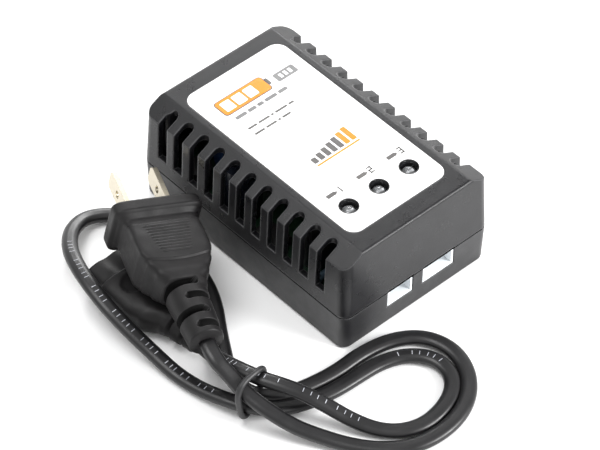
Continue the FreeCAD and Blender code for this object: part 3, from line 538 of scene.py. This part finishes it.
def make_print(frames):
    """Faded ink marks on the cord's upper face: plain strokes in groups of four or five, no letters."""
    bm = bmesh.new()
    travelled, next_at, count = 0.0, 0.0, 0
    for i in range(1, len(frames)):
        travelled += (frames[i][0] - frames[i - 1][0]).length
        number = (i - CORD_STEPS / 2) / CORD_STEPS - 1
        if travelled < next_at or not any(a < number < b for a, b in PRINTED):
            continue
        gap = PRINT_GAP if count % PRINT_GROUP in PRINT_GAP_AFTER else 1.0
        next_at = travelled + PRINT_PITCH * gap
        stroke(bm, frames[i], PRINT_SHIFTS[count % 2])
        count += 1
    link("cord_print", to_mesh(bm, "cord_print"), "cord_pvc", "ink_white", "mains_lead", smooth=False)


def make_tie():
    """Black wire tie bent round the bunch: a closed band with a slight twist in it."""
    across = UP.cross(TIE_DIR).normalized()
    twist, squareness = 0.6 * MM, 3
    loop = []
    for a in turns(72):
        x, z = rounded(TIE_HALF_WIDTH, TIE_HALF_HEIGHT, squareness, a)
        loop.append(TIE_CENTRE + across * x + UP * z + TIE_DIR * twist * math.sin(2 * a))
    bm = bmesh.new()
    rings = []
    for i, point in enumerate(loop):
        along = (loop[(i + 1) % len(loop)] - loop[i - 1]).normalized()
        out = along.cross(TIE_DIR).normalized()
        flat = along.cross(out)
        rings.append([bm.verts.new(point + (out * math.cos(t) + flat * math.sin(t)) * TIE_RADIUS)
                      for t in turns(12)])
    bridge(bm, rings + rings[:1])
    return link("wire_tie", to_mesh(bm, "wire_tie"), "tie_pvc", body="mains_lead", replaces=["lead_tie"])


# ------------------------------------------------------------------ moulded plug and connector
# Their sizes are in millimetres, along their own axis Y, which points away from the cord.
def loft(name, stations, columns, shape, place, slot, replaces):
    """Moulded body: at each station along Y, shape gives a point for each angle round it."""
    bm = bmesh.new()
    rings = [[bm.verts.new(shape(y, a)) for a in turns(columns)] for y in stations]
    join_rings(bm, rings)
    mesh = to_mesh(bm, name)
    mesh.transform(place)
    return link(name, mesh, slot, body="mains_lead", replaces=replaces)


def between(table, y):
    """Row of numbers at y, eased between the rows of a table that is sorted by falling y."""
    if y >= table[0][0]:
        return table[0][1:]
    for upper, lower in zip(table, table[1:]):
        if y >= lower[0]:
            t = ease((upper[0] - y) / (upper[0] - lower[0]))
            return [a + (b - a) * t for a, b in zip(upper[1:], lower[1:])]
    return table[-1][1:]


def rounded(w, h, n, angle):
    """Point of a rounded rectangle: half width w, half height h, squareness n."""
    c, s = math.cos(angle), math.sin(angle)
    k = (abs(c) ** n + abs(s) ** n) ** (-1 / n)
    return w * c * k, h * s * k


def steps(spans):
    """Stations from runs of (start, end, spacing)."""
    out = []
    for start, end, gap in spans:
        n = max(1, round(abs(end - start) / gap))
        out += [start + (end - start) * i / n for i in range(n)]
    out.append(spans[-1][1])
    return out


def slotted(x, y, z, slots, width, reach, core):
    """A relief's point, pulled in to the radius core in a slot; a slot is (y, the side it opens to)."""
    deep, soft = 0.0, 0.2
    for y_slot, side in slots:
        beyond = max(0.0, -reach - side * x)
        distance = math.hypot(y - y_slot, beyond)
        deep = max(deep, 1 - ease((distance - width / 2 + soft / 2) / soft))
    k = 1 - deep * (1 - core / math.hypot(x, z))
    return x * k, z * k


PLUG_TABLE = [  # y, half width, half height, squareness
    (0.0, 13.3, 8.1, 8.0), (-0.3, 13.8, 8.6, 8.0), (-0.8, 14.0, 8.8, 8.0), (-3.8, 14.0, 8.8, 8.0),
    (-4.2, 13.8, 8.6, 8.0), (-4.8, 12.7, 7.7, 8.0), (-6.2, 11.6, 6.7, 9.0), (-8.6, 11.3, 6.7, 12.0),
    (-14.0, 11.4, 6.9, 13.0), (-19.0, 11.3, 6.9, 13.0), (-23.0, 10.2, 6.8, 10.0), (-26.5, 8.5, 6.5, 6.0),
    (-30.0, 6.9, 6.3, 3.2), (-33.0, 6.3, 6.1, 2.2), (-41.0, 5.85, 5.85, 2.0), (-49.5, 5.35, 5.35, 2.0),
    (-50.0, 5.0, 5.0, 2.0),
]
PLUG_SPANS = [(0, -1, 0.17), (-1, -8.2, 0.3), (-8.2, -9.2, 0.2), (-9.2, -21.5, 0.14), (-21.5, -24.5, 0.2),
              (-24.5, -29.5, 0.4), (-29.5, -48.8, 0.17), (-48.8, -50, 0.2)]
PLUG_COLUMNS = 168
# The raised panels above and below, with a bowed back edge, and the grip ridges on them.
PANEL_FRONT, PANEL_BACK, PANEL_BOW, PANEL_RISE, PANEL_EDGE = -8.3, -23.4, 0.014, 0.55, 0.4
RIDGES, RIDGE_FIRST, RIDGE_PITCH, RIDGE_RISE = 10, -10.0, 1.12, 0.24
RIDGE_HALF, RIDGE_TAPER, RIDGE_END = 6.9, 0.27, 0.3
# The relief's slots: width, how far past the middle they reach, and the core's radius between them.
PLUG_SLOTS = [(-31.2, -1), (-36.3, 1), (-41.8, -1), (-46.8, 1)]
PLUG_SLOT_WIDTH, PLUG_SLOT_REACH, PLUG_CORE = 2.3, 1.6, 2.0
PLUG_RELIEF = -29.0
# Where the slots' floors get painted shade: from and to along Y, and within this radius of the axis.
SLOT_SHADE_FROM, SLOT_SHADE_TO, SLOT_SHADE_RADIUS = -49.0, -29.5, 4.7


def plug_point(y, angle):
    """Point of the plug's moulding."""
    w, h, n = between(PLUG_TABLE, y)
    x, z = rounded(w, h, n, angle)
    side = 1 if z > 0 else -1
    if abs(z) > 0.55 * h:
        behind_front = ease((PANEL_FRONT - y) / PANEL_EDGE)
        before_back = ease((y - PANEL_BACK - PANEL_BOW * x * x) / PANEL_EDGE)
        z += side * PANEL_RISE * behind_front * before_back
        at = (RIDGE_FIRST - y) / RIDGE_PITCH
        if -0.5 < at < RIDGES - 0.5:
            half = RIDGE_HALF - RIDGE_TAPER * at
            ridge = max(0.0, math.cos(2 * math.pi * (at - round(at)))) * ease((half - abs(x)) / RIDGE_END)
            z += side * RIDGE_RISE * ridge
    if y < PLUG_RELIEF:
        x, z = slotted(x, y, z, PLUG_SLOTS, PLUG_SLOT_WIDTH, PLUG_SLOT_REACH, PLUG_CORE)
    return Vector((x, y, z)) * MM


def make_plug():
    """The plug's moulding, with painted shade on its slots' floors: a darker, duller black there."""
    plug = loft("plug_moulding", steps(PLUG_SPANS), PLUG_COLUMNS, plug_point, PLUG_MATRIX, "lead_pvc",
                ["plug_body"])
    # Painted shade for the slots' floors.
    plug.data.materials.append(MATS["slot_painted_shade"])
    to_plug = PLUG_MATRIX.inverted()
    for face in plug.data.polygons:
        at = to_plug @ face.center / MM
        if SLOT_SHADE_FROM < at.y < SLOT_SHADE_TO and math.hypot(at.x, at.z) < SLOT_SHADE_RADIUS:
            face.material_index = 1
    return plug


CONN_TABLE = [  # y, half width, half height, squareness
    (24.5, 7.7, 3.3, 2.8), (24.1, 8.0, 3.7, 2.8), (16.9, 8.1, 3.9, 2.8), (16.4, 8.6, 4.3, 3.2),
    (16.2, 9.1, 4.6, 3.6), (15.6, 9.6, 5.0, 3.6), (14.0, 9.75, 5.18, 3.6), (6.0, 9.75, 5.18, 3.4),
    (0.0, 8.4, 5.1, 3.0), (-6.0, 5.3, 4.8, 2.2), (-8.0, 4.6, 4.5, 2.0), (-17.0, 3.5, 3.5, 2.0),
    (-17.5, 3.0, 3.0, 2.0),
]
CONN_SPANS = [(24.5, 23.8, 0.2), (23.8, 17.0, 1.0), (17.0, 14.0, 0.25), (14.0, -6.5, 0.5),
              (-6.5, -17.0, 0.16), (-17.0, -17.5, 0.17)]
CONN_COLUMNS = 120
# The nose's waist, which makes it a figure eight, and the thumb's dish on top of the body.
NOSE_FROM, WAIST_DEPTH, WAIST_REACH = 16.3, 0.16, 2.2
DISH_FROM, DISH_TO, DISH_MIDDLE = 4.0, 15.0, 9.8
DISH_HALF_WIDTH, DISH_HALF_LENGTH, DISH_DEPTH = 5.5, 4.2, 0.9
CONN_SLOTS = [(-8.5, -1), (-10.9, 1), (-13.3, -1), (-15.5, 1)]
CONN_SLOT_WIDTH, CONN_SLOT_REACH, CONN_CORE = 1.3, 0.6, 2.6
CONN_RELIEF = -6.5
MOUTH_OFFSET = 4.3
MOUTH_RINGS = [(24.52, 1.75), (24.56, 1.7), (24.56, 1.3), (19.0, 1.2)]  # y, radius


def conn_point(y, angle):
    """Point of the connector's moulding."""
    w, h, n = between(CONN_TABLE, y)
    x, z = rounded(w, h, n, angle)
    if y > NOSE_FROM:
        z *= 1 - WAIST_DEPTH * math.exp(-(x / WAIST_REACH) ** 2)
    if z > 0 and DISH_FROM < y < DISH_TO:
        dish = 1 - (x / DISH_HALF_WIDTH) ** 2 - ((y - DISH_MIDDLE) / DISH_HALF_LENGTH) ** 2
        z -= DISH_DEPTH * math.sqrt(max(0.0, dish))
    if y < CONN_RELIEF:
        x, z = slotted(x, y, z, CONN_SLOTS, CONN_SLOT_WIDTH, CONN_SLOT_REACH, CONN_CORE)
    return Vector((x, y, z)) * MM


def make_connector():
    """The connector's moulding and the dark mouths of its two contacts."""
    place = Matrix.Translation(CONN_AXIS)
    piece = loft("connector_moulding", steps(CONN_SPANS), CONN_COLUMNS, conn_point, place, "lead_pvc",
                 ["connector_body"])
    bm = bmesh.new()
    for middle in (-MOUTH_OFFSET, MOUTH_OFFSET):
        rings = []
        for y, r in MOUTH_RINGS:
            ring = [Vector((middle + r * math.cos(t), y, r * math.sin(t))) for t in turns(24)]
            rings.append([bm.verts.new(CONN_AXIS + point * MM) for point in ring])
        join_rings(bm, rings)
    link("connector_mouths", to_mesh(bm, "connector_mouths"), "plated_brass", "component_black",
         "mains_lead")
    return piece


# ------------------------------------------------------------------ label
# Its sizes are in millimetres, from the middle of the case, X to the right and Y to the back.
INK_RAISED, INK_SUNK = 0.05, 0.02
WORD_GAP = 0.75


def flat_shape(bm, outline, lift):
    """Thin raised ink shape on the label, from an outline in millimetres."""
    z0 = LABEL_TOP + (lift - INK_SUNK) * MM
    z1 = LABEL_TOP + (lift + INK_RAISED) * MM
    low = [bm.verts.new((x * MM, y * MM, z0)) for x, y in outline]
    high = [bm.verts.new((x * MM, y * MM, z1)) for x, y in outline]
    join_rings(bm, [low, high])


def bar(x0, x1, y0, y1, r=0.0):
    """Rectangle outline, its corners rounded by r."""
    if not r:
        return [(x0, y0), (x1, y0), (x1, y1), (x0, y1)]
    corners = [(x1 - r, y1 - r, 0), (x0 + r, y1 - r, 90), (x0 + r, y0 + r, 180), (x1 - r, y0 + r, 270)]
    out = []
    for cx, cy, start in corners:
        for i in range(5):
            a = math.radians(start + 22.5 * i)
            out.append((cx + r * math.cos(a), cy + r * math.sin(a)))
    return out


def ink(name, shapes, mat, lift=0.0):
    """Printed shapes of one colour; a lift in millimetres puts them over the ink below."""
    bm = bmesh.new()
    for outline in shapes:
        flat_shape(bm, outline, lift)
    link(name, to_mesh(bm, name), "label_film", mat, smooth=False)


def words(x0, y, height, lengths):
    """A row of short bars that stands for a line of small print."""
    out = []
    x = x0
    for length in lengths:
        out.append(bar(x, x + length, y, y + height, height * 0.3))
        x += length + WORD_GAP
    return out


# Numerals as strokes on a grid of 1 by 2: (x, y) from and to.
DIGITS = {
    1: [(0.5, 0, 0.5, 2)],
    2: [(0, 2, 1, 2), (1, 1, 1, 2), (0, 1, 1, 1), (0, 0, 0, 1), (0, 0, 1, 0)],
    3: [(0, 2, 1, 2), (0, 1, 1, 1), (0, 0, 1, 0), (1, 0, 1, 2)],
}
DIGIT_SIZE, DIGIT_THICK = 1.1, 0.45
CELL_PLACES = (-12.0, 0.0, 12.0)


def digit(number, x, y):
    """Outlines of a numeral's strokes."""
    half = DIGIT_THICK / 2
    out = []
    for x0, y0, x1, y1 in DIGITS[number]:
        out.append(bar(x + x0 * DIGIT_SIZE - half, x + x1 * DIGIT_SIZE + half,
                       y + y0 * DIGIT_SIZE - half, y + y1 * DIGIT_SIZE + half))
    return out


def print_battery():
    """The large battery and the small grey one that stand for the titles."""
    body, knob = bar(-14.2, 4.6, 23.4, 30.2, 1.2), bar(4.5, 5.6, 25.3, 28.3, 0.4)
    ink("label_battery_edge", [body, knob], "ink_dark")
    ink("label_battery_face", [bar(-13.9, 4.3, 23.7, 29.9, 1.0)], "ink_orange", 0.05)
    charge = [bar(x, x + 3.6, 24.7, 28.9, 0.4) for x in (-12.6, -8.1, -3.6)]
    ink("label_battery_bars", charge, "label_film", 0.1)
    ink("label_badge", [bar(7.6, 15.4, 24.2, 27.8, 0.6)], "ink_grey")
    small_charge = [bar(x, x + 1.0, 25.1, 26.9) for x in (9.2, 11.0, 12.8)]
    ink("label_badge_bars", small_charge, "label_film", 0.05)


def print_rows():
    """The rows of small print."""
    ink("label_title_row", words(-12.7, 20.4, 1.3, (4.2, 3.0, 2.2, 4.6, 3.4)), "ink_grey")
    upper = words(-12.8, 15.0, 0.75, (3.4, 4.2, 0.9, 4.6, 2.0))
    lower = words(-12.8, 12.0, 0.75, (3.8, 4.0, 0.9, 3.2))
    ink("label_small_rows", upper + lower, "ink_dark")


def print_emblem():
    """Seven columns that rise to the right over a line."""
    left, foot, pitch, width, dark_ones = -7.8, -8.6, 2.5, 1.8, 5
    columns = []
    for i in range(7):
        x, height = left + pitch * i, 2.4 + 0.62 * i
        columns.append(bar(x, x + width, foot, foot + height, 0.3))
    ink("label_columns_dark", columns[:dark_ones], "ink_dark")
    ink("label_columns_orange", columns[dark_ones:], "ink_orange")
    ink("label_underline", [bar(left, 9.0, -9.9, -9.3, 0.2)], "ink_orange")


def print_cells():
    """A cell and its number behind each lamp."""
    for number, x in enumerate(CELL_PLACES, start=1):
        cell = [bar(x - 2.6, x + 0.8, -21.7, -20.3, 0.3), bar(x + 0.8, x + 1.3, -21.3, -20.7)]
        ink("label_cell_%d" % number, cell + digit(number, x + 2.2, -22.0), "ink_dark")


# ------------------------------------------------------------------ painted shadow of the split between the shells
# Millimetres: the case's corner radius, and the line's faces in and out of the wall and below the split.
GAP_CORNER = 3.2
GAP_IN, GAP_OUT, GAP_TOP, GAP_BOTTOM = -0.35, 0.02, -0.02, -0.44


def make_gap_shadow():
    """Painted shadow: a thin black band, slightly proud of the wall, for the shadow in the gap between the
    two shells.
    """
    low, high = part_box("top_shell")
    split = low[2] / MM
    half_x, half_y = high[0] / MM, high[1] / MM
    bm = bmesh.new()
    rings = []
    for grow, z in ((GAP_IN, GAP_TOP), (GAP_OUT, GAP_TOP), (GAP_OUT, GAP_BOTTOM), (GAP_IN, GAP_BOTTOM)):
        outline = bar(-half_x - grow, half_x + grow, -half_y - grow, half_y + grow, GAP_CORNER + grow)
        rings.append([bm.verts.new((x * MM, y * MM, (split + z) * MM)) for x, y in outline])
    bridge(bm, rings + rings[:1])
    link("shell_gap_shadow", to_mesh(bm, "shell_gap_shadow"), "case_plastic", "gap_painted_shadow", smooth=False)


# ------------------------------------------------------------------ lamps
# Boxes of a lamp's lead frame, in millimetres from the top of its dome: x, y and z, each from and to.
LAMP_POST = (-1.5, -0.3, -0.4, 0.4, -7.0, -2.3)
LAMP_ANVIL = (0.3, 1.3, -0.3, 0.3, -7.0, -1.9)
LAMP_CUP = (-0.9, 0.5, -0.3, 0.3, -2.3, -1.7)


def make_lamps():
    """Lead frame inside each clear lamp: a post, an anvil and the cup between them."""
    for number, (low, high) in enumerate(LAMP_BOXES, start=1):
        x, y, top = (low[0] + high[0]) / 2, (low[1] + high[1]) / 2, high[2]
        bm = bmesh.new()
        for x0, x1, y0, y1, z0, z1 in (LAMP_POST, LAMP_ANVIL, LAMP_CUP):
            rings = [[bm.verts.new((x + u * MM, y + v * MM, top + z * MM)) for u, v in bar(x0, x1, y0, y1)]
                     for z in (z0, z1)]
            join_rings(bm, rings)
        name = "lamp_frame_%d" % number
        link(name, to_mesh(bm, name), "tinned_wire", smooth=False)


# ------------------------------------------------------------------ CAD nodes
NODE_MATS = {"bottom_shell": "case_lower"}


def dress_nodes():
    """Gives every carried-over CAD node its finish, by the record's slot."""
    slots = {part["node"]: part["material_slot"] for part in frame["record"]["subparts"]}
    for name, node in NODES.items():
        mat = MATS[NODE_MATS.get(name, slots[name])]
        if not node.material_slots:
            node.data.materials.append(mat)
        for place in node.material_slots:
            place.material = mat


look_camera()
studio()
cord, cord_path, cord_frame_list, cord_length = make_cord()
make_print(cord_frame_list)
plug = make_plug()
connector = make_connector()
tie = make_tie()
print_battery()
print_rows()
print_emblem()
print_cells()
make_gap_shadow()
make_lamps()
dress_nodes()
